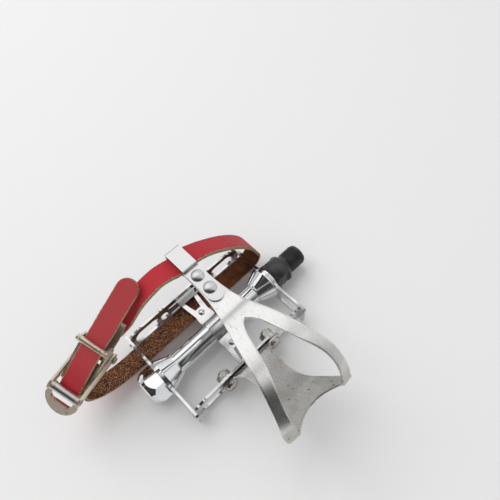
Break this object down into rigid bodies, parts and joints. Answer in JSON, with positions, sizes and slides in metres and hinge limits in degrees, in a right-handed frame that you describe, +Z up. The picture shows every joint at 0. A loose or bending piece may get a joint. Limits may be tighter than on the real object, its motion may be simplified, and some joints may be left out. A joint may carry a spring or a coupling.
{
  "type": "road bicycle pedal with toe clip and strap",
  "caption": "Right-hand caged road pedal in chromed steel, with a steel toe clip and a red leather toe strap in a quick-release buckle",
  "frame": {"origin": "On the spindle axis, at the face of the shoulder where the crank thread begins", "axes": "+X along the spindle out of the pedal towards the crank, +Y towards the heel and the rear cage plate, +Z up, with the toe clip at the front towards -Y"},
  "size_m": [0.1725, 0.1199, 0.0808],
  "materials": {
    "tube_chrome": "polished",
    "plate_chrome": "polished, lightly worn",
    "clip_steel": "satin",
    "guide_steel": "satin",
    "black_steel": "blackened",
    "bearing_steel": "polished",
    "bolt_zinc": "yellowed zinc",
    "strap_leather": "grained outside, raw brown inside",
    "buckle_steel": "aged",
    "buckle_dark": "aged",
    "roller_steel": "satin",
    "rivet_brass": "aged"
  },
  "bodies": {
    "pedal_body": {"barrel_tube": "tube_chrome", "inner_cup": "tube_chrome", "outer_cup": "tube_chrome", "dust_cap": "tube_chrome", "inner_end_plate": "plate_chrome", "outer_end_plate": "plate_chrome", "front_cage_plate": "plate_chrome", "rear_cage_plate": "plate_chrome", "bridge_upper": "plate_chrome", "bridge_lower": "plate_chrome", "bridge_rivets": "bearing_steel", "toe_clip": "clip_steel", "clip_bolts": "bolt_zinc", "clip_washers": "bearing_steel", "clip_nuts": "bolt_zinc", "strap_guide": "guide_steel", "guide_rivets": "guide_steel", "toe_strap": "strap_leather", "strap_rivet": "rivet_brass", "buckle_frame": "buckle_steel", "strap_bar": "buckle_dark"},
    "axle": {"spindle": "black_steel", "outer_cone": "bearing_steel", "lock_washer": "bearing_steel", "lock_nut": "bearing_steel"},
    "inner_ball_ring": {"inner_balls": "bearing_steel"},
    "outer_ball_ring": {"outer_balls": "bearing_steel"},
    "yoke": {"buckle_yoke": "buckle_steel", "roller_pin": "buckle_dark"},
    "roller": {"buckle_roller": "roller_steel"}
  },
  "joints": [
    {"name": "spindle_turn", "type": "hinge", "parent": "pedal_body", "child": "axle", "pos_m": [0, 0, 0], "axis": [1, 0, 0], "continuous": true},
    {"name": "inner_balls_roll", "type": "hinge", "parent": "pedal_body", "child": "inner_ball_ring", "pos_m": [-0.019, 0, 0], "axis": [1, 0, 0], "continuous": true},
    {"name": "outer_balls_roll", "type": "hinge", "parent": "pedal_body", "child": "outer_ball_ring", "pos_m": [-0.103, 0, 0], "axis": [1, 0, 0], "continuous": true},
    {"name": "yoke_release", "type": "hinge", "parent": "pedal_body", "child": "yoke", "pos_m": [-0.12155, 0.02606, 0.03119], "axis": [-0.2422, 0.9407, 0.2377], "range_deg": [0, 12], "stiffness_Nm_per_rad": 0.02},
    {"name": "roller_turn", "type": "hinge", "parent": "yoke", "child": "roller", "pos_m": [-0.1473, 0.01921, 0.03209], "axis": [-0.2422, 0.9407, 0.2377], "continuous": true}
  ],
  "couplings": [
    {"joint": "inner_balls_roll", "follows": "spindle_turn", "ratio": 0.4},
    {"joint": "outer_balls_roll", "follows": "spindle_turn", "ratio": 0.4}
  ]
}
